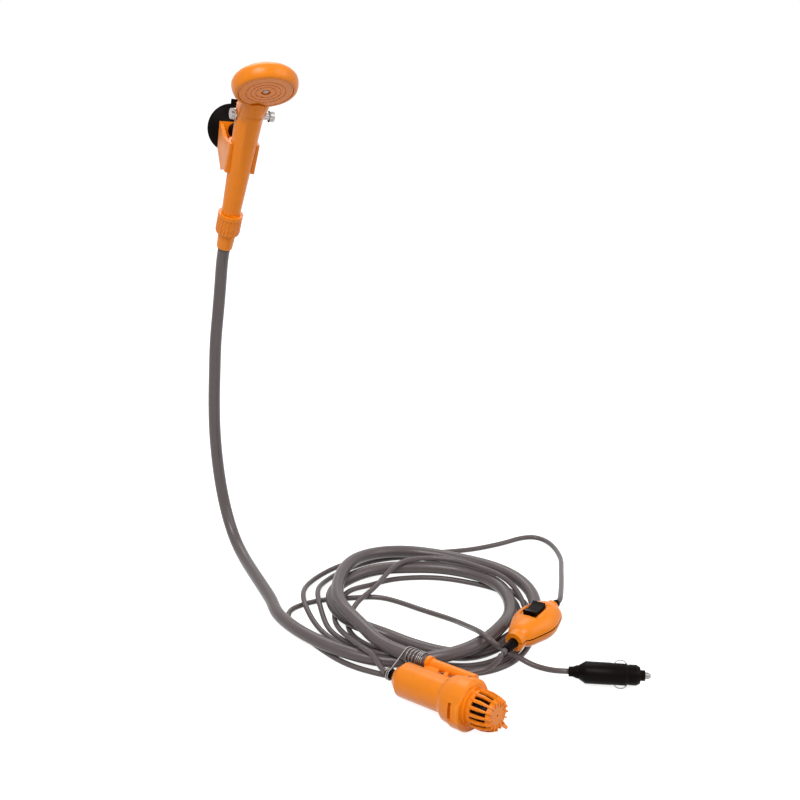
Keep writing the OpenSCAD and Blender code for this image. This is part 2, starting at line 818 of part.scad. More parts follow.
// Entry notch and turning slot for one lug of the pump body
module bayonet_slot() {
    lug_half = 8;
    rotate([0, 0, -lug_half]) rotate_extrude(angle = cap_twist + 2 * lug_half)
        translate([spigot_out, flange_end + 1.9]) square([collar_r - spigot_out + 1, 3.2]);
    rotate([0, 0, -lug_half - cap_twist]) rotate_extrude(angle = cap_twist + 2 * lug_half)
        translate([spigot_out, flange_end + 1.9]) square([collar_r - spigot_out - 1.2, 3.2]);
    rotate([0, 0, -lug_half - cap_twist]) rotate_extrude(angle = 2 * lug_half)
        translate([spigot_out, flange_end - 2]) square([collar_r - spigot_out - 1.2, 5]);
}

// Cable

module cable_coil() {
    echo(cable_gap = least_gap(cable_loops(gap_step), cable_d, 5));
    color(grey) cord(cable_loops(cable_step), cable_d, cable_sides, [0, 0, 1]);
}

module cable_lead() {
    turns = loops(cable_stations, cable_step);
    end = turns[len(turns) - 1];
    bend = concat(
        [2 * end - turns[len(turns) - 2]],
        raised(lead_points),
        [switch_pt(rear_tip + cable_d)]
    );
    path = concat([end], spline(bend, 2), [switch_pt(rear_tip)]);
    color(grey) cord(path, cable_d, cable_sides, [0, 0, 1]);
}

module cable_tail() {
    bend = concat([switch_pt(front_tip - cable_d)], raised(tail_points), [plug_pt(-cable_d)]);
    path = concat([switch_pt(front_tip)], spline(bend, 2), [plug_pt(0)]);
    color(grey) cord(path, cable_d, cable_sides, [0, 0, 1]);
}

// Switch

module egg(grow) {
    half_w = switch_w / 2 + grow;
    flat = switch_h / switch_w;
    hull() {
        translate([0, 0, -18]) scale([1, flat + 0.1, 1]) sphere(r = 16.5 + grow, $fn = hull_fn);
        translate([0, 0, 0]) scale([1, flat, 1.1]) sphere(r = half_w, $fn = hull_fn);
        translate([0, 0, 12]) scale([1, flat, 1]) sphere(r = half_w - 3, $fn = hull_fn);
    }
}

module switch_case() {
    difference() {
        union() {
            egg(0);
            rod(9.6, -38, -28);
            rod(7.2, 24, 33);
        }
        translate([-9, -9, -13]) cube([18, 18, 29]);
        translate([-rocker_w / 2 - 3.5, seat_y, rocker_z - rocker_len / 2 - 3])
            cube([rocker_w + 7, 20, rocker_len + 6]);
        translate([-rocker_w / 2 - 0.5, 0, rocker_z - rocker_len / 2 - 0.8])
            cube([rocker_w + 1, 20, rocker_len + 1.6]);
        translate([-rocker_w / 2 - 2, pin_y, rocker_z]) rotate([0, 90, 0])
            cylinder(r = 1.22, h = rocker_w + 4);
        rod(4.02, -50, -31);
        rod(4.02, 25, 50);
    }
}

module half_space(side) {
    translate([-cut / 2, side > 0 ? seam / 2 : -cut - seam / 2, -cut]) cube([cut, cut, 2 * cut]);
}

module switch_top() {
    color(orange) switch_frame() difference() {
        intersection() {
            switch_case();
            half_space(1);
        }
        for (z = screw_places)
            translate([0, 0, z]) rotate([-90, 0, 0]) rod(1.42, -1, 6);
    }
}

module switch_base() {
    color(orange) switch_frame() difference() {
        intersection() {
            switch_case();
            half_space(-1);
        }
        for (z = screw_places)
            translate([0, 0, z]) rotate([-90, 0, 0]) {
                rod(1.5, -30, 1);
                rod(2.7, -30, -6);
            }
    }
}

module switch_gasket() {
    color(black) switch_frame() difference() {
        intersection() {
            egg(-0.4);
            translate([-cut / 2, 0.05 - seam / 2, -cut]) cube([cut, seam - 0.1, 2 * cut]);
        }
        translate([-9, -9, -13]) cube([18, 18, 29]);
        translate([-rocker_w / 2 - 0.5, -9, rocker_z - rocker_len / 2 - 0.8])
            cube([rocker_w + 1, 18, rocker_len + 1.6]);
        rod(4.02, -50, -31);
        rod(4.02, 25, 50);
        for (z = screw_places)
            translate([0, 0, z]) rotate([-90, 0, 0]) rod(1.5, -5, 5);
    }
}

module rocker() {
    half = rocker_len / 2;
    color(black) switch_frame() translate([0, 0, rocker_z]) difference() {
        rotate([90, 0, 90]) translate([0, 0, -rocker_w / 2]) linear_extrude(rocker_w)
            polygon([
                [seat_y + 5.2, -half], [seat_y + 3.4, -half * 0.5], [seat_y + 2.6, 0],
                [seat_y + 3.4, half * 0.5], [seat_y + 5.2, half],
                [pin_y - 1.5, half - 0.4], [pin_y - 3.2, 0], [pin_y - 1.5, -half + 0.4]
            ]);
        translate([-20, pin_y, 0]) rotate([0, 90, 0]) cylinder(r = 1.2 + fit, h = 40);
    }
}

module rocker_pin() {
    color(steel) switch_frame() translate([-rocker_w / 2 - 1.9, pin_y, rocker_z]) rotate([0, 90, 0])
        cylinder(r = 1.2, h = rocker_w + 3.8);
}

module switch_module() {
    color(black) switch_frame() translate([-6, -6.5, rocker_z - 8]) cube([12, 9, 16]);
}

module switch_contacts() {
    color(brass) switch_frame()
        for (z = [-5, 0, 5])
            translate([-2, -8.9, rocker_z + z - 0.4]) cube([4, 2.38, 0.8]);
}

module switch_screws() {
    color(steel) switch_frame()
        for (z = screw_places)
            translate([0, 0, z]) rotate([-90, 0, 0]) {
                rod(1.4, -7, 5);
                rod(2.6, -8, -6.02);
            }
}

module switch_sleeve_front() {
    color(black) switch_frame() {
        rod(4, -40, -31.5);
        cone(3.7, 5, front_tip, -38.05);
    }
}

module switch_sleeve_rear() {
    color(black) switch_frame() {
        rod(4, 25.5, 34);
        cone(5, 3.7, 33.05, rear_tip);
    }
}

// Plug

module contact_pockets() {
    for (side = [0, 180])
        rotate([0, 0, plug_roll + side]) translate([-2.6, 5, contact_start - 1.5])
            cube([5.2, 10, contact_end - contact_start + 2.5]);
}

module plug_shell() {
    color(black) plug_frame() difference() {
        rotate_extrude() polygon([
            [0, boot_len + 0.05], [6.5, boot_len + 0.05], [plug_r, 15.5], [plug_r, 53], [plug_r - 0.8, 54],
            [plug_r - 0.8, shell_end], [0, shell_end]
        ]);
        rod(4.2, 18, shell_end + 1);
        rod(4.9, 50.9, shell_end + 1);
        contact_pockets();
    }
}

module plug_boot() {
    color(black) plug_frame() {
        cone(4.6, 5, 0, boot_len);
        cone(5, 6.2, 4.5, boot_len - 1.5);
        rod(6.2, boot_len - 1.5, boot_len);
    }
}

module plug_nose() {
    color(black) plug_frame() difference() {
        rotate_extrude() polygon([
            [0, shell_end + 0.05], [plug_r - 0.8, shell_end + 0.05], [plug_r - 0.8, 62.5],
            [plug_r - 2.6, 66], [5, 66], [5, nose_end], [0, nose_end]
        ]);
        rod(4.3, 50, 62);
        rod(tip_r + fit, 60, 80);
    }
}

module plug_tip() {
    color(steel) plug_frame() {
        rod(3.9, fuse_end + 0.05, 61.9);
        rod(tip_r, 61, plug_len - 2.4);
        cone(tip_r, 1.6, plug_len - 2.4, plug_len);
    }
}

module tip_spring() {
    color(steel) plug_frame() tube(2.8, 2, 18.1, fuse_start - 0.05);
}

module plug_fuse() {
    color(white) plug_frame() rod(3, fuse_start, fuse_end);
}

// Bowed leaf spring standing out of its pocket
module side_contact() {
    span = contact_end - contact_start;
    height = plug_r + contact_out - 8;
    bow = (span * span / 4 + height * height) / (2 * height);
    translate([-1.6, 0, (contact_start + contact_end) / 2]) rotate([0, -90, 180]) linear_extrude(3.2)
        intersection() {
            translate([0, plug_r + contact_out - bow]) difference() {
                circle(r = bow, $fn = 96);
                circle(r = bow - 0.9, $fn = 96);
            }
            translate([-span / 2, 8]) square([span, 20]);
        }
}

module side_contact_upper() {
    color(steel) plug_frame() rotate([0, 0, plug_roll]) side_contact();
}

module side_contact_lower() {
    color(steel) plug_frame() rotate([0, 0, plug_roll + 180]) side_contact();
}

suction_cup();
holder();
handset_body();
spray_plate();
plate_seal();
plate_screw();
valve_rod();
valve_knob_right();
valve_knob_left();
valve_o_rings();
collar_nut();
nut_washer();
hose_tail();
hose_ferrule();
hose_drop();
hose_coil();
hose_spring();
pump_body();
cable_gland();
motor_can();
motor_magnets();
end_bell();
armature();
commutator();
motor_shaft();
shaft_bushings();
brushes();
seal_plate();
shaft_seal();
impeller();
volute_plate();
cap_seal();
strainer_cap();
cable_coil();
cable_lead();
cable_tail();
switch_top();
switch_base();
switch_gasket();
rocker();
rocker_pin();
switch_module();
switch_contacts();
switch_screws();
switch_sleeve_front();
switch_sleeve_rear();
plug_shell();
plug_boot();
plug_nose();
plug_tip();
tip_spring();
plug_fuse();
side_contact_upper();
side_contact_lower();
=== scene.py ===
"""Camp shower set: cords, smooth shells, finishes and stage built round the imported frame."""

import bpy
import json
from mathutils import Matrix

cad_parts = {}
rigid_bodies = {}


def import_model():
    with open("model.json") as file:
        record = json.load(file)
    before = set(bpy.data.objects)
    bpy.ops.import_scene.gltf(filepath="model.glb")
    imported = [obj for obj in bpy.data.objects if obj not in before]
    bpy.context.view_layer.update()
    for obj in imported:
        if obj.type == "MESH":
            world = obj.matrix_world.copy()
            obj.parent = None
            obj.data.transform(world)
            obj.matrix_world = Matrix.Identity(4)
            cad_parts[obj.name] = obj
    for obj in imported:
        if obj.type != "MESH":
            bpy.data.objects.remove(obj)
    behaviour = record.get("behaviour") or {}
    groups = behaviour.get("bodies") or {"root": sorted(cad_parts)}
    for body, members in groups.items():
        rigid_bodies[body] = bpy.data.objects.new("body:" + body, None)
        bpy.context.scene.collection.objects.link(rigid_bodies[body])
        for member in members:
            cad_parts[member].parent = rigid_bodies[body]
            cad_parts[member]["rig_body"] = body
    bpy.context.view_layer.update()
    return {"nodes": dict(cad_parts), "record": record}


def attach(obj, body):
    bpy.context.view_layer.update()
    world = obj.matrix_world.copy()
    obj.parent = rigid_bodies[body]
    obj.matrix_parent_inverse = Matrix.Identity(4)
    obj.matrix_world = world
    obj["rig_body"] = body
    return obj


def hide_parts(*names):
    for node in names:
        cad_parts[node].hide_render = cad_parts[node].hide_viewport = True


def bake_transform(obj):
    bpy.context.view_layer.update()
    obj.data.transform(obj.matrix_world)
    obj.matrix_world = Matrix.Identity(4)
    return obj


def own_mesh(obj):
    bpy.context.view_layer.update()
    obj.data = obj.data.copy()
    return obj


bl_info = {
    "name": "Camp shower set",
    "version": (1, 0, 0),
    "blender": (4, 5, 0),
    "location": "View3D > Sidebar > Camp shower",
    "description": "Dresses a camp shower: hose, cable, spring, shells, finishes and stage",
    "category": "Object",
}

import json
import math

import bmesh
import bpy
import numpy as np
from bpy.props import FloatProperty, FloatVectorProperty, IntProperty, PointerProperty
from mathutils import Vector

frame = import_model()

MM = 0.001
SLOT_OF = {row["node"]: row["material_slot"] for row in frame["record"]["subparts"]}

# Layout of the set, in millimetres, as the frame has it
FLOOR = -465.0
CLIP_X, CLIP_OFF, CLIP_DROP = -2.0, 50.6, 22.0
LEAN, ROLL = math.radians(18), math.radians(8)
PUMP_AT, PUMP_YAW, PUMP_TILT = (25.5, -372.7, FLOOR + 15.8), math.radians(-64), math.radians(5.5)
SWITCH_AT, SWITCH_YAW, SWITCH_TILT = (174.0, -366.0, FLOOR + 32.0), math.radians(28.4), math.radians(3.7)
SWITCH_ROLL = math.radians(-8)
PLUG_AT, PLUG_YAW = (177.2, -424.7, FLOOR + 12.3), math.radians(-29.7)
PIPE_POS, PIPE_END, GLAND_TIP = (23.2, 10.0), 16.0, -14.0
FERRULE_END, FRONT_TIP, REAR_TIP = -105.5, -52.0, 41.0
COIL_AT, COIL_TURN, COIL_BLEND = (100.0, -262.0), -24.0, 10.0
TIP_SPRING_START, TIP_SPRING_END, TIP_TRAVEL = 18.1, 27.95, 4.0

# Dark cup behind the strainer's slots, painted shade that darkens them: radius and distance along the pump,
# from its rim to its middle
SHADE_CUP_LINE = [(14.1, 88.0), (14.1, 100.8), (13.1, 106.2), (10.8, 110.4), (0.5, 110.4)]
SHADE_CUP_WALL, SHADE_CUP_SIDES = 0.4, 48

# Wires and cables: sides of a tube, and the tip spring's turns, radius and wire radius
CABLE_SIDES, WIRE_SIDES, TIP_SIDES = 16, 10, 8
TIP_TURNS, TIP_RADIUS, TIP_WIRE_R = 6, 2.4, 0.35

# Hose loops: angle, radius and height of each station, anticlockwise from the landing to the pump
HOSE_STATIONS = [
    (174, 160, 7), (190, 140, 10), (205, 128, 13), (220, 117, 13), (235, 109, 11.5), (250, 104, 10),
    (265, 101, 13), (280, 104, 19), (300, 103, 22), (316, 99, 24.5), (326, 95, 23), (338, 92, 17),
    (352, 92, 13), (390, 92, 13), (405, 85, 13), (422, 79, 13), (445, 76, 13), (460, 75, 13),
    (475, 82, 13), (490, 88, 13), (510, 93, 13), (525, 98, 13), (536, 94, 13), (552, 84, 13),
    (570, 76, 13), (580, 67, 12), (590, 60, 8), (602, 58, 7), (615, 63, 7), (630, 69, 7),
    (642, 79, 7), (654, 92, 7), (666, 99, 7), (677, 102, 10), (684, 106, 13.5), (702, 114, 13),
    (722, 119, 13), (742, 118, 13), (757, 113, 13), (770, 107, 13), (785, 102, 13), (800, 104, 13),
    (815, 109, 14), (828, 111, 16), (840, 109, 19), (852, 103, 24), (864, 97, 27), (876, 91, 27),
    (892, 87, 27), (910, 85, 27), (930, 82, 28), (945, 83.5, 28), (956, 90, 27.5), (964, 97, 26.5),
    (970, 106, 25.5),
]

# Cable loops: angle, radius and height of each station, clockwise from the pump to the switch
CABLE_STATIONS = [
    (245, 116, 21), (238, 108, 23.5), (231, 101, 21), (223, 95, 14), (216, 92, 10), (206, 90, 8.5),
    (198, 89, 4.5), (190, 90, 3), (177, 89, 3), (170, 87, 6), (165, 86, 10), (158, 83, 10),
    (150, 78, 10), (143, 76, 4), (130, 75, 3), (113, 73, 3), (98, 70, 3), (74, 72, 3),
    (58, 76, 3), (45, 81, 3), (33, 91, 3), (22, 100, 3), (10, 102, 3), (-5, 101, 3),
    (-20, 104, 3), (-40, 112, 3), (-55, 111, 3), (-68, 104, 3), (-80, 92, 3), (-92, 84, 3),
    (-110, 78, 3), (-123, 79, 3), (-136, 81, 3), (-152, 81, 3), (-163, 79, 3), (-175, 73, 4),
    (-188, 67, 9.5), (-205, 61, 9.5), (-220, 61, 9.5), (-232, 65, 12), (-242, 69, 18), (-250, 72, 23),
    (-258, 75, 23), (-270, 77, 23), (-284, 80, 23), (-301, 83, 23), (-315, 85, 23), (-329, 91, 23),
    (-338, 97, 23), (-345, 102, 20), (-353, 106, 11), (-360, 108, 6), (-367, 108.5, 3), (-380, 110.5, 3),
    (-400, 118.5, 3), (-415, 117.5, 3), (-428, 111, 3), (-440, 99, 3), (-452, 91, 3), (-470, 85, 3),
    (-483, 86, 3), (-496, 89, 3), (-506, 93, 3), (-516, 97, 3), (-529, 100, 3), (-536, 100, 3),
    (-543, 103, 8), (-548, 107, 11.5), (-555, 113, 11.5), (-561, 117, 6), (-568, 120, 3), (-576, 120, 3),
    (-590, 119, 3), (-605, 118, 3), (-620, 117, 3), (-635, 112, 3), (-648, 106, 3), (-662, 100, 3),
    (-675, 97, 3), (-690, 102, 3), (-702, 108, 3), (-712, 111, 3), (-725, 115, 3), (-740, 118, 3),
    (-760, 125, 3), (-775, 124, 3), (-788, 118, 3), (-800, 106, 3), (-812, 97, 3), (-830, 92, 3),
    (-843, 93, 3), (-856, 96, 3), (-866, 100, 3), (-876, 104, 3), (-890, 110, 3), (-897, 115, 6),
    (-904, 121, 11), (-912, 127, 11), (-919, 131, 6), (-927, 133, 3), (-936, 132, 3), (-947, 131, 3),
    (-965, 126, 3), (-980, 124, 3), (-995, 126, 3),
]

# Hose from the handset down the wall to the floor: x, y and height above the floor
DROP_POINTS = [
    (-23.5, -10, 301), (-28, -10.5, 270), (-33, -11.5, 238), (-36, -12, 205), (-39, -13, 171),
    (-41, -15, 135), (-41, -18, 100), (-40, -24, 68), (-38, -36, 37), (-36, -56, 16), (-35, -84, 8),
    (-35, -116, 7),
]

# Cable from the loops round to the rear of the switch
LEAD_POINTS = [
    (200, -163, 3), (226, -166, 3), (250, -166, 3), (271, -164, 3), (288, -168, 3), (296, -182, 3),
    (293, -206, 6), (281, -238, 12), (262, -270, 19), (240, -306, 27),
]

# Cable from the front of the switch, round behind the pump and back across to the plug
TAIL_POINTS = [
    (116, -393, 18), (108, -389, 11), (98, -385, 9), (83, -379, 6), (62, -372, 3), (44, -366, 3),
    (28, -353, 3), (13, -338, 3), (0, -322, 3), (-11, -301, 3), (-21, -270, 3), (-28, -240, 3),
    (-29, -218, 3), (-22, -203, 3), (-8, -198, 3), (10, -197, 3), (28, -201, 3), (47, -207, 3),
    (63, -212, 3), (76, -220, 3), (89, -236, 3), (102, -256, 3), (115, -277, 4), (121, -299, 9),
    (120, -328, 20), (117, -357, 32), (118, -372, 34), (125, -379.5, 27.5), (138, -379, 16),
    (146, -384, 12), (152, -391, 8), (160, -402, 7), (168, -414, 9),
]


# Places


def handset_place(p):
    """Points of the handset's frame, leaned, hung in the clip and rolled, in the wall's frame."""
    p = np.asarray(p, float)
    y = p[..., 1] * math.cos(LEAN) - p[..., 2] * math.sin(LEAN) - CLIP_OFF
    z = p[..., 1] * math.sin(LEAN) + p[..., 2] * math.cos(LEAN) - CLIP_DROP
    x = p[..., 0] + CLIP_X
    across = x * math.cos(ROLL) + z * math.sin(ROLL)
    return np.stack([across, y, z * math.cos(ROLL) - x * math.sin(ROLL)], -1)


def lying_place(at, yaw, tilt, p):
    """Points (left, up, along) of a piece lying on the floor, carried by its three axes."""
    p = np.asarray(p, float)
    left = np.array([-math.sin(yaw), math.cos(yaw), 0.0])
    along = np.array([math.cos(yaw) * math.cos(tilt), math.sin(yaw) * math.cos(tilt), math.sin(tilt)])
    up = np.cross(along, left)
    return np.asarray(at) + p[..., :1] * left + p[..., 1:2] * up + p[..., 2:3] * along


def pump_place(p):
    """Points of the pump's frame in the wall's frame."""
    return lying_place(PUMP_AT, PUMP_YAW, PUMP_TILT, p)


def switch_place(p):
    """Points of the switch's frame in the wall's frame, rolled about its own axis first."""
    p = np.asarray(p, float)
    c, s = math.cos(SWITCH_ROLL), math.sin(SWITCH_ROLL)
    turned = np.stack([p[..., 0] * c - p[..., 1] * s, p[..., 0] * s + p[..., 1] * c, p[..., 2]], -1)
    return lying_place(SWITCH_AT, SWITCH_YAW, SWITCH_TILT, turned)


def plug_place(p):
    """Points of the plug's frame in the wall's frame."""
    return lying_place(PLUG_AT, PLUG_YAW, 0.0, p)


def on_axis(place, *stations):
    """Points at these distances along a lying piece's own axis."""
    return place(np.array([(0.0, 0.0, s) for s in stations]))


def raised(points):
    """Given points with their heights counted up from the floor."""
    return np.asarray(points, float) + (0.0, 0.0, FLOOR)


# Curves


def spline(points, per):
    """Catmull-Rom curve through the points, with per steps between neighbours."""
    p = np.asarray(points, float)
    p = np.vstack([2 * p[:1] - p[1:2], p, 2 * p[-1:] - p[-2:-1]])
    a, b, c, d = (p[i:len(p) - 3 + i, None] for i in range(4))
    t = (np.arange(per) / per)[None, :, None]
    square = 2 * a - 5 * b + 4 * c - d
    cube = 3 * b - a - 3 * c + d
    curve = 0.5 * (2 * b + (c - a) * t + square * t**2 + cube * t**3)
    return np.vstack([curve.reshape(-1, 3), p[-2:-1]])


def loops(stations, step):
    """Turns about the coil's centre: radius and height are station tables averaged over a short angle."""
    table = np.asarray(stations, float)
    order = table[np.argsort(table[:, 0])]
    count = int(round(abs(table[-1, 0] - table[0, 0]) / step))
    angle = np.linspace(table[0, 0], table[-1, 0], count + 1)
    spread = np.linspace(-COIL_BLEND, COIL_BLEND, 5)
    radius, height = (
        np.mean([np.interp(angle + s, order[:, 0], order[:, col]) for s in spread], 0) for col in (1, 2)
    )
    turn = np.radians(angle + COIL_TURN)
    x = COIL_AT[0] + radius * np.cos(turn)
    y = COIL_AT[1] + radius * np.sin(turn)
    return np.stack([x, y, FLOOR + height], 1)


def even(points, gap):
    """The same line with points an even gap apart."""
    run = np.r_[0, np.cumsum(np.linalg.norm(np.diff(points, axis=0), axis=1))]
    at = np.linspace(0, run[-1], max(int(run[-1] / gap), 2) + 1)
    return np.stack([np.interp(at, run, points[:, k]) for k in range(3)], 1)


def eased(points, rounds):
    """The same line with its inner points moved to the mean of their neighbours, some rounds over."""
    line = points.copy()
    for _ in range(rounds):
        line[1:-1] = 0.25 * line[:-2] + 0.5 * line[1:-1] + 0.25 * line[2:]
    return line


# Meshes


def grid_faces(rows, cols, wrap_cols=True):
    """Quads of a grid of rows by cols points; the columns close into a ring when wrapped."""
    last = cols if wrap_cols else cols - 1
    i, k = np.meshgrid(np.arange(rows - 1), np.arange(last), indexing="ij")
    a, b = i * cols + k, i * cols + (k + 1) % cols
    return np.stack([a, b, b + cols, a + cols], -1).reshape(-1, 4)


def make_piece(name, points, faces, slot, body, smooth=True):
    """Mesh object from points in millimetres and a list of faces, finished with a slot's material."""
    mesh = bpy.data.meshes.new(name)
    mesh.from_pydata((np.asarray(points).reshape(-1, 3) * MM).tolist(), [], [list(f) for f in faces])
    mesh.update()
    mesh.polygons.foreach_set("use_smooth", np.full(len(mesh.polygons), smooth))
    piece = bpy.data.objects.new(name, mesh)
    bpy.context.scene.collection.objects.link(piece)
    mesh.materials.append(FINISHES[slot]())
    if body:
        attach(piece, body)
    return piece


def tube_points(path, radius, sides):
    """Rings round a path: circles square to it, turned from a direction that the path never takes."""
    ahead = np.gradient(path, axis=0)
    ahead /= np.linalg.norm(ahead, axis=1, keepdims=True)
    steep = np.clip((np.abs(ahead[:, 2:]) - 0.3) / 0.5, 0, 1)
    ref = steep * np.array([1.0, 0, 0]) + (1 - steep) * np.array([0, 0, 1.0])
    side = np.cross(ahead, ref)
    side /= np.linalg.norm(side, axis=1, keepdims=True)
    lift = np.cross(ahead, side)
    turn = np.linspace(0, 2 * math.pi, sides, endpoint=False)[None, :, None]
    return path[:, None] + radius * (np.cos(turn) * side[:, None] + np.sin(turn) * lift[:, None])


def tube_piece(name, path, radius, sides, slot, body):
    """Closed round tube along a path, capped with a disc at each end."""
    rings = tube_points(path, radius, sides)
    rows = len(path)
    faces = grid_faces(rows, sides).tolist()
    faces.append(list(range(sides))[::-1])
    faces.append([(rows - 1) * sides + k for k in range(sides)])
    return make_piece(name, rings, faces, slot, body)


def lathe_points(profile, sides):
    """Rings about an axis: each radius and distance of the profile is turned all the way round."""
    radius, along = (np.asarray(profile, float)[:, col, None] for col in (0, 1))
    turn = np.linspace(0, 2 * math.pi, sides, endpoint=False)
    return np.stack([radius * np.cos(turn), radius * np.sin(turn), along + 0 * turn], -1)


# Shader maths


class Wire:
    """A socket or number in a material's graph; arithmetic on it adds Math nodes."""

    def __init__(self, graph, socket):
        self.graph = graph
        self.socket = socket

    def _math(self, operation, a, b):
        return self.graph.add("ShaderNodeMath", {"operation": operation}, {0: a, 1: b})

    def __add__(self, other):
        return self._math("ADD", self, other)

    def __radd__(self, other):
        return self._math("ADD", other, self)

    def __rmul__(self, other):
        return self._math("MULTIPLY", other, self)

    def above(self, limit):
        """One where the value is greater than the limit."""
        return self._math("GREATER_THAN", self, limit)


class Graph:
    """The node graph of a material or of the world, with one method that adds any node."""

    def __init__(self, owner):
        self.owner = owner
        owner.use_nodes = True
        self.tree = owner.node_tree
        self.tree.nodes.clear()

    def add(self, kind, settings=None, inputs=None, output=0):
        """Adds a node of a kind, sets its settings, then its sockets' values or links."""
        node = self.tree.nodes.new(kind)
        for key, value in (settings or {}).items():
            setattr(node, key, value)
        for key, value in (inputs or {}).items():
            if isinstance(value, Wire):
                self.tree.links.new(value.socket, node.inputs[key])
            else:
                node.inputs[key].default_value = value
        return Wire(self, node.outputs[output]) if node.outputs else node

    def noise(self, scale, detail=2.0):
        """Soft noise over the piece's own coordinates, nought to one."""
        place = self.add("ShaderNodeTexCoord", output="Object")
        return self.add("ShaderNodeTexNoise", None, {"Vector": place, "Scale": scale, "Detail": detail})

    def tint(self, colour, spread, factor):
        """A colour that a factor carries from a darker to a lighter shade of itself."""
        dark, light = (tuple(min(c * k, 1.0) for c in colour) + (1.0,) for k in (1 - spread, 1 + spread))
        return self.add("ShaderNodeMix", {"data_type": "RGBA"}, {0: factor, 6: dark, 7: light}, output=2)

    def seen(self):
        """One for rays of the camera, of gloss and of glass, nought for rays that only light the set."""
        kinds = ("Is Camera Ray", "Is Glossy Ray", "Is Transmission Ray")
        camera, gloss, glass = (self.add("ShaderNodeLightPath", output=kind) for kind in kinds)
        return (camera + gloss + glass).above(0.5)

    def bump(self, height, strength, distance):
        """Normal tilted by a height."""
        return self.add(
            "ShaderNodeBump", None, {"Height": height, "Strength": strength, "Distance": distance}
        )

    def finish(self, **sockets):
        """Principled surface with these sockets, joined to the output."""
        named = {key.replace("_", " "): value for key, value in sockets.items()}
        surface = self.add("ShaderNodeBsdfPrincipled", None, named)
        self.add("ShaderNodeOutputMaterial", None, {"Surface": surface})
        return self.owner


def new_graph(name):
    """Graph of a new material."""
    return Graph(bpy.data.materials.new(name))


def once(make):
    """Keeps the first material that a maker returns."""
    kept = []

    def keep():
        if not kept:
            kept.append(make())
        return kept[0]

    return keep


@once
def orange_plastic():
    """Moulded orange plastic: even colour, semi-gloss with a faint unevenness."""
    g = new_graph("orange_plastic")
    cloud = g.noise(60.0)
    grain = g.noise(2500.0, 1.0)
    return g.finish(
        Base_Color=g.tint(colours().orange, 0.07, cloud),
        Roughness=0.26 + 0.1 * cloud,
        Normal=g.bump(grain, 0.03, 0.0004),
        Specular_IOR_Level=0.3,
    )


@once
def black_plastic():
    """Satin black plastic."""
    g = new_graph("black_plastic")
    cloud = g.noise(90.0)
    grain = g.noise(3000.0, 1.0)
    return g.finish(
        Base_Color=g.tint(colours().black, 0.3, cloud),
        Roughness=0.3 + 0.12 * cloud,
        Normal=g.bump(grain, 0.05, 0.0003),
        Specular_IOR_Level=0.06,
    )


@once
def black_rubber():
    """Soft black rubber with a dull sheen."""
    g = new_graph("black_rubber")
    cloud = g.noise(70.0)
    grain = g.noise(1800.0, 1.0)
    return g.finish(
        Base_Color=g.tint(colours().black, 0.3, cloud),
        Roughness=0.42 + 0.12 * cloud,
        Normal=g.bump(grain, 0.06, 0.0004),
        Specular_IOR_Level=0.045,
    )


def vinyl(name, dull):
    """Smooth grey vinyl under a thin clear gloss, with faint clouds and drawing marks."""
    g = new_graph(name)
    cloud = g.noise(40.0)
    marks = g.noise(700.0, 3.0)
    return g.finish(
        Base_Color=g.tint(colours().grey, 0.12, cloud),
        Roughness=dull + 0.1 * cloud,
        Normal=g.bump(marks, 0.05, 0.0005),
        Coat_Weight=0.2,
        Coat_Roughness=0.14,
        Specular_IOR_Level=0.3,
    )


@once
def hose_vinyl():
    """The hose's vinyl."""
    return vinyl("hose_vinyl", 0.3)


@once
def cable_vinyl():
    """The cable's vinyl, a little duller."""
    return vinyl("cable_vinyl", 0.36)


def metal(name, colour, rough):
    """Plain metal with a slight unevenness in its gloss."""
    g = new_graph(name)
    cloud = g.noise(300.0)
    return g.finish(Base_Color=g.tint(colour, 0.06, cloud), Metallic=1.0, Roughness=rough + 0.1 * cloud)


@once
def chrome():
    """Polished chrome of the valve rod."""
    return metal("chrome", (0.4, 0.37, 0.36), 0.12)


@once
def steel():
    """Plain steel of springs and screws."""
    return metal("steel", (0.3, 0.28, 0.27), 0.3)


@once
def brass():
    """Plain brass."""
    return metal("brass", (0.72, 0.5, 0.2), 0.25)


@once
def copper():
    """Wound copper."""
    return metal("copper", (0.72, 0.34, 0.16), 0.3)


@once
def magnet():
    """Sintered magnet and brush."""
    g = new_graph("magnet")
    cloud = g.noise(200.0)
    return g.finish(Base_Color=g.tint((0.05, 0.05, 0.055), 0.1, cloud), Roughness=0.55 + 0.1 * cloud)


@once
def white_plastic():
    """Off-white plastic of the impeller and fuse."""
    g = new_graph("white_plastic")
    cloud = g.noise(120.0)
    return g.finish(Base_Color=g.tint((0.75, 0.74, 0.7), 0.04, cloud), Roughness=0.4 + 0.1 * cloud)


FINISHES = {
    "orange_plastic": orange_plastic,
    "black_plastic": black_plastic,
    "black_rubber": black_rubber,
    "hose_vinyl": hose_vinyl,
    "cable_vinyl": cable_vinyl,
    "chrome": chrome,
    "steel": steel,
    "brass": brass,
    "copper": copper,
    "magnet": magnet,
    "white_plastic": white_plastic,
}


# Properties


class ShowerColours(bpy.types.PropertyGroup):
    """Colours that a user would change."""

    orange: FloatVectorProperty(
        name="Orange",
        description="Moulded shells",
        subtype="COLOR",
        size=3,
        default=(0.87, 0.235, 0.004),
    )
    grey: FloatVectorProperty(
        name="Grey",
        description="Hose and cable",
        subtype="COLOR",
        size=3,
        default=(0.1, 0.079, 0.078),
    )
    black: FloatVectorProperty(
        name="Black",
        description="Rubber, plug and rocker",
        subtype="COLOR",
        size=3,
        default=(0.0035, 0.0016, 0.0013),
    )


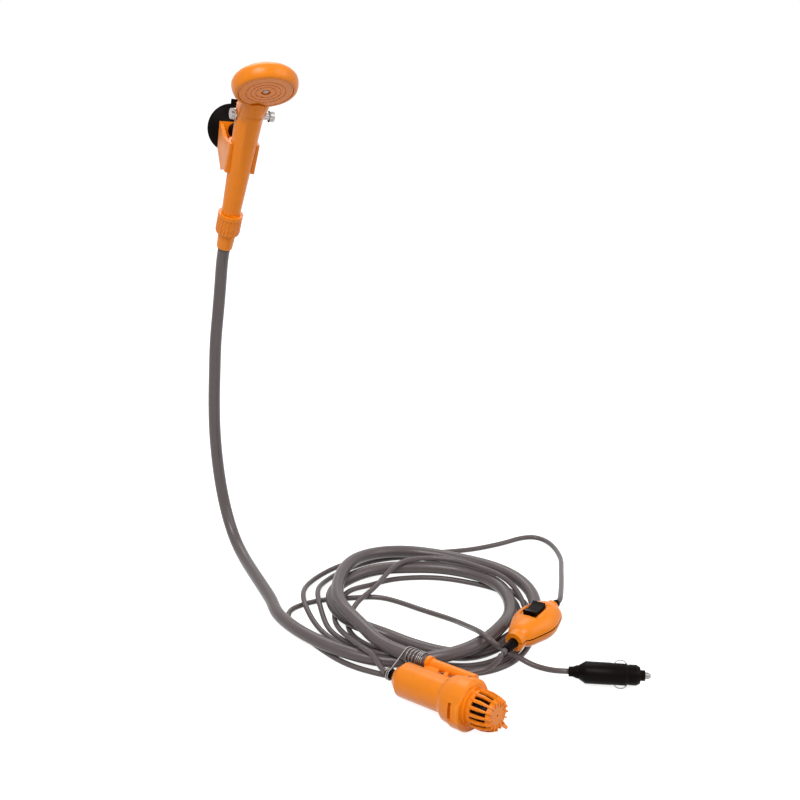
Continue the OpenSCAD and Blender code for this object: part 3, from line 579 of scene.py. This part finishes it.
class ShowerSizes(bpy.types.PropertyGroup):
    """Sizes that a user would change."""

    hose_d: FloatProperty(
        name="Hose",
        description="Outer diameter of the hose",
        unit="LENGTH",
        default=0.013,
        precision=4,
    )
    cable_d: FloatProperty(
        name="Cable",
        description="Outer diameter of the cable",
        unit="LENGTH",
        default=0.0054,
        precision=4,
    )
    wire_d: FloatProperty(
        name="Spring wire",
        description="Wire diameter of the spring",
        unit="LENGTH",
        default=0.0013,
        precision=4,
    )
    lens: FloatProperty(name="Lens", description="Focal length of the camera, millimetres", default=54.0)
    sides: IntProperty(name="Sides", description="Faces round a hose", default=28, min=8)


def colours():
    """The set's colours."""
    return bpy.context.scene.shower_colours


def sizes():
    """The set's sizes."""
    return bpy.context.scene.shower_sizes


# Pieces


def hose_path():
    """Centreline of the hose from the ferrule down the wall, round the loops and into the pump's pipe."""
    drop = handset_place([(0, 0, FERRULE_END), (0, 0, FERRULE_END - 13)])
    turns = loops(HOSE_STATIONS, 6)
    pipe = pump_place([(*PIPE_POS, z) for z in (-10, 3, PIPE_END)])
    line = np.vstack([drop, raised(DROP_POINTS), turns, pipe])
    return eased(even(spline(line, per=6), gap=4.0), rounds=12)


def cable_path():
    """Centreline of the cable from the pump's gland through the loops to the rear of the switch."""
    start = on_axis(pump_place, GLAND_TIP, GLAND_TIP - 5)
    end = on_axis(switch_place, REAR_TIP + 6, REAR_TIP)
    line = np.vstack([start, loops(CABLE_STATIONS, 5), raised(LEAD_POINTS), end])
    return eased(even(spline(line, per=5), gap=2.5), rounds=8)


def tail_path():
    """Centreline of the cable from the front of the switch to the plug's boot."""
    start = on_axis(switch_place, FRONT_TIP, FRONT_TIP - 5)
    end = on_axis(plug_place, -6, 0)
    line = np.vstack([start, raised(TAIL_POINTS), end])
    return eased(even(spline(line, per=8), gap=2.5), rounds=8)


def spring_path(per):
    """Helix round the hose end: three close curls, four open ones, a leg, then two round the gland."""
    wire = sizes().wire_d / MM
    hose_r = sizes().hose_d / MM / 2
    curl_r = hose_r + wire / 2 + 0.4
    gland_r = 4.6 + wire / 2 + 0.4
    close, opened, gland = 3, 4, 2
    close_pitch, open_pitch, leave, top = wire + 0.7, 3.9, 130.0, PIPE_END - 1.5
    n = np.arange(per * (close + opened) + 1) / per
    a = np.radians(leave + 360 * (n - close - opened))
    down = top - close_pitch * np.minimum(n, close) - open_pitch * np.maximum(n - close, 0)
    round_hose = np.stack([PIPE_POS[0] + curl_r * np.cos(a), PIPE_POS[1] + curl_r * np.sin(a), down], 1)
    n = np.arange(per * gland + 1) / per
    a = np.radians(leave + 360 * n)
    round_gland = np.stack([gland_r * np.cos(a), gland_r * np.sin(a), GLAND_TIP + 5.5 - close_pitch * n], 1)
    leg = np.linspace(round_hose[-1], round_gland[0], 8)[1:-1]
    return pump_place(np.vstack([round_hose, leg, round_gland]))


def tip_spring_path(per):
    """Helix of six even turns along the plug's axis, in the space between the body and the fuse."""
    margin = 0.4
    n = np.arange(per * TIP_TURNS + 1) / per
    free = TIP_SPRING_END - TIP_SPRING_START - 2 * margin
    along = TIP_SPRING_START + margin + free * n / TIP_TURNS
    a = 2 * math.pi * n
    return plug_place(np.stack([TIP_RADIUS * np.cos(a), TIP_RADIUS * np.sin(a), along], 1))


# Rounding of each outer piece's sharp edges, in millimetres
SHELL_EDGES = {
    "suction_cup": 0.5, "holder": 0.6, "handset_body": 0.5, "spray_plate": 0.0, "plate_screw": 0.0,
    "valve_rod": 0.2, "valve_knob_right": 0.25, "valve_knob_left": 0.25, "collar_nut": 0.4,
    "hose_ferrule": 0.5, "pump_body": 0.7, "cable_gland": 0.3, "strainer_cap": 0.3, "switch_top": 0.5,
    "switch_base": 0.3, "switch_gasket": 0.0, "rocker": 0.7, "switch_sleeve_front": 0.3,
    "switch_sleeve_rear": 0.3, "plug_shell": 0.4, "plug_boot": 0.3, "plug_nose": 0.4, "plug_tip": 0.3,
    "side_contact_upper": 0.2, "side_contact_lower": 0.2,
}


# Weld distance in metres, and the turns that count as flat, as sharp and as an edge to round
WELD, FLAT, SHARP, EDGE = 2e-6, math.radians(0.3), math.radians(32), math.radians(35)


def shell_of(name, edge):
    """Merged copy of a solid, smooth over gentle turns, its sharp edges rounded by edge millimetres."""
    node = frame["nodes"][name]
    mesh = node.data.copy()
    work = bmesh.new()
    work.from_mesh(mesh)
    bmesh.ops.remove_doubles(work, verts=work.verts, dist=WELD)
    bmesh.ops.dissolve_limit(work, angle_limit=FLAT, verts=work.verts, edges=work.edges)
    work.to_mesh(mesh)
    work.free()
    mesh.polygons.foreach_set("use_smooth", np.full(len(mesh.polygons), True))
    mesh.set_sharp_from_angle(angle=SHARP)
    mesh.materials.clear()
    mesh.materials.append(FINISHES[SLOT_OF[name]]())
    shell = bpy.data.objects.new(name + "_shell", mesh)
    bpy.context.scene.collection.objects.link(shell)
    if edge:
        rounding = shell.modifiers.new("edges", "BEVEL")
        rounding.width, rounding.segments = edge * MM, 2
        rounding.limit_method, rounding.angle_limit = "ANGLE", EDGE
        rounding.harden_normals = True
    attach(shell, node["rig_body"])
    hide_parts(name)
    return shell


class SHOWER_OT_shells(bpy.types.Operator):
    """Smooth copies of the outer pieces with rounded edges"""

    bl_idname = "shower.shells"
    bl_label = "Shells"

    def execute(self, context):
        for name, edge in SHELL_EDGES.items():
            shell_of(name, edge)
        return {"FINISHED"}


class SHOWER_OT_hose(bpy.types.Operator):
    """Hose from the handset to the pump, one tube"""

    bl_idname = "shower.hose"
    bl_label = "Hose"

    def execute(self, context):
        path = hose_path()
        hose = tube_piece("hose", path, sizes().hose_d / MM / 2, sizes().sides, "hose_vinyl", None)
        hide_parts("hose_drop", "hose_coil")
        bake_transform(hose)
        return {"FINISHED"}


class SHOWER_OT_cables(bpy.types.Operator):
    """Cable from the pump to the switch and from the switch to the plug"""

    bl_idname = "shower.cables"
    bl_label = "Cables"

    def execute(self, context):
        parts = (
            ("cable_pump", cable_path(), ("cable_coil", "cable_lead"), "fitting", "switch"),
            ("cable_plug", tail_path(), ("cable_tail",), "plug", "plug"),
        )
        for name, path, nodes, far_end, family in parts:
            cable = tube_piece(name, path, sizes().cable_d / MM / 2, CABLE_SIDES, "cable_vinyl", "base")
            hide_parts(*nodes)
        return {"FINISHED"}


class SHOWER_OT_spring(bpy.types.Operator):
    """Wire spring on the hose end, with its leg to the gland"""

    bl_idname = "shower.spring"
    bl_label = "Spring"

    def execute(self, context):
        wire_r = sizes().wire_d / MM / 2
        spring = tube_piece("spring_wire", spring_path(36), wire_r, WIRE_SIDES, "steel", "base")
        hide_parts("hose_spring")
        return {"FINISHED"}


class SHOWER_OT_tip_spring(bpy.types.Operator):
    """Coil spring behind the fuse"""

    bl_idname = "shower.tip_spring"
    bl_label = "Tip spring"

    def execute(self, context):
        coil = tube_piece("tip_coil", tip_spring_path(24), TIP_WIRE_R, TIP_SIDES, "steel", "base")
        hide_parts("tip_spring")
        rear, front = on_axis(plug_place, TIP_SPRING_START, TIP_SPRING_END) * MM
        (front - rear).tolist()
        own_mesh(coil)
        return {"FINISHED"}


class SHOWER_OT_shade_cup(bpy.types.Operator):
    """Thin dark cup behind the strainer's slots, painted shade that makes them read deep, which turns with
    the cap
    """

    bl_idname = "shower.gauze"
    bl_label = "Shade cup"

    def execute(self, context):
        outer = np.array(SHADE_CUP_LINE)
        rings = lathe_points(np.vstack([outer, outer[::-1] - SHADE_CUP_WALL]), SHADE_CUP_SIDES)
        rows, sides = rings.shape[:2]
        faces = grid_faces(rows + 1, sides) % (rows * sides)
        cap = frame["nodes"]["strainer_cap"]["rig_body"]
        # A black cup stands in for the shade inside the strainer: painted shade
        make_piece("strainer_shade_cup", pump_place(rings), faces.tolist(), "black_plastic", cap)
        return {"FINISHED"}


class SHOWER_OT_finishes(bpy.types.Operator):
    """Finish on every solid of the frame"""

    bl_idname = "shower.finishes"
    bl_label = "Finishes"

    def execute(self, context):
        for name, solid in frame["nodes"].items():
            solid.data.materials.clear()
            solid.data.materials.append(FINISHES[SLOT_OF[name]]())
        return {"FINISHED"}


# Stage

FLOOR_GLOW, WORLD_LIGHT, FLOOR_HALF = 0.86, 0.4, 6.0
CAMERA_AT, SENSOR = (-0.3535, -1.2274, 0.2055), 36.0
CAMERA_PITCH, CAMERA_TURN = math.radians(22), math.radians(-24)
LIT_POINT = (0.08, -0.2, -0.25)

# Lamps: name, place, width and power, each turned to the lit point
LAMPS = (
    ("key", (-0.9, -1.1, 1.5), 1.0, 29),
    ("fill", (1.4, -1.3, 0.9), 1.4, 13),
    ("back", (0.3, 1.3, 1.4), 1.2, 15),
)


def floor_material():
    """Pale floor with a soft shadow, brightened by a white glow for the camera, gloss and glass."""
    g = new_graph("pale_floor")
    matt = g.add("ShaderNodeBsdfDiffuse", None, {"Color": (0.5, 0.5, 0.5, 1)})
    glow = g.add("ShaderNodeEmission", None, {"Strength": FLOOR_GLOW})
    bright = g.add("ShaderNodeAddShader", None, {0: matt, 1: glow})
    surface = g.add("ShaderNodeMixShader", None, {0: g.seen(), 1: matt, 2: bright})
    g.add("ShaderNodeOutputMaterial", None, {"Surface": surface})
    return g.owner


def white_world():
    """World that lights the set softly and shows plain white to the camera, gloss and glass."""
    g = Graph(bpy.data.worlds.new("white_world"))
    soft = g.add("ShaderNodeBackground", None, {"Color": (1, 1, 1, 1), "Strength": WORLD_LIGHT})
    plain = g.add("ShaderNodeBackground", None, {"Color": (1, 1, 1, 1), "Strength": 1.0})
    surface = g.add("ShaderNodeMixShader", None, {0: g.seen(), 1: soft, 2: plain})
    g.add("ShaderNodeOutputWorld", None, {"Surface": surface})
    return g.owner


def area_lamp(name, place, size, power):
    """Square soft lamp that points at the lit point."""
    lamp = bpy.data.lights.new(name, "AREA")
    lamp.size, lamp.energy = size, power
    holder = bpy.data.objects.new(name, lamp)
    holder.location = place
    holder.rotation_mode = "QUATERNION"
    holder.rotation_quaternion = (Vector(LIT_POINT) - Vector(place)).to_track_quat("-Z", "Y")
    bpy.context.scene.collection.objects.link(holder)


def stand_camera(scene):
    """Camera in front of the set, sharp from near to far."""
    camera = bpy.data.cameras.new("camera")
    camera.lens, camera.sensor_width = sizes().lens, SENSOR
    camera.dof.use_dof = False
    holder = bpy.data.objects.new("camera", camera)
    scene.collection.objects.link(holder)
    level = math.cos(CAMERA_PITCH)
    ahead = (-math.sin(CAMERA_TURN) * level, math.cos(CAMERA_TURN) * level, -math.sin(CAMERA_PITCH))
    holder.location = CAMERA_AT
    holder.rotation_mode = "QUATERNION"
    holder.rotation_quaternion = Vector(ahead).to_track_quat("-Z", "Y")
    scene.camera = holder


def lay_floor(scene):
    """Wide square floor under the set."""
    half, base = FLOOR_HALF, FLOOR * MM
    corners = [(-half, -half, base), (half, -half, base), (half, half, base), (-half, half, base)]
    mesh = bpy.data.meshes.new("floor")
    mesh.from_pydata(corners, [], [(0, 1, 2, 3)])
    mesh.materials.append(floor_material())
    floor = bpy.data.objects.new("floor", mesh)
    scene.collection.objects.link(floor)


class SHOWER_OT_stage(bpy.types.Operator):
    """Camera, soft lamps, white world and pale floor"""

    bl_idname = "shower.stage"
    bl_label = "Stage"

    def execute(self, context):
        scene = context.scene
        scene.view_settings.view_transform = "Standard"
        stand_camera(scene)
        lay_floor(scene)
        for lamp in LAMPS:
            area_lamp(*lamp)
        scene.world = white_world()
        return {"FINISHED"}


class SHOWER_PT_panel(bpy.types.Panel):
    """Lists the set's pieces"""

    bl_label = "Camp shower"
    bl_idname = "SHOWER_PT_panel"
    bl_space_type = "VIEW_3D"
    bl_region_type = "UI"
    bl_category = "Camp shower"

    def draw(self, context):
        for group in (colours(), sizes()):
            for key in group.__annotations__:
                self.layout.prop(group, key)
        for operator in OPERATORS:
            self.layout.operator(operator.bl_idname)


OPERATORS = (
    SHOWER_OT_finishes,
    SHOWER_OT_shells,
    SHOWER_OT_hose,
    SHOWER_OT_cables,
    SHOWER_OT_spring,
    SHOWER_OT_tip_spring,
    SHOWER_OT_shade_cup,
    SHOWER_OT_stage,
)
CLASSES = (ShowerColours, ShowerSizes, *OPERATORS, SHOWER_PT_panel)


def register():
    """Adds the classes and the scene's properties."""
    for cls in CLASSES:
        bpy.utils.register_class(cls)
    bpy.types.Scene.shower_colours = PointerProperty(type=ShowerColours)
    bpy.types.Scene.shower_sizes = PointerProperty(type=ShowerSizes)


def unregister():
    """Takes them away again."""
    del bpy.types.Scene.shower_sizes
    del bpy.types.Scene.shower_colours
    for cls in reversed(CLASSES):
        bpy.utils.unregister_class(cls)


def main():
    """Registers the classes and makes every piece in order."""
    register()
    for operator in OPERATORS:
        area, call = operator.bl_idname.split(".")
        getattr(getattr(bpy.ops, area), call)()


if __name__ == "__main__":
    main()
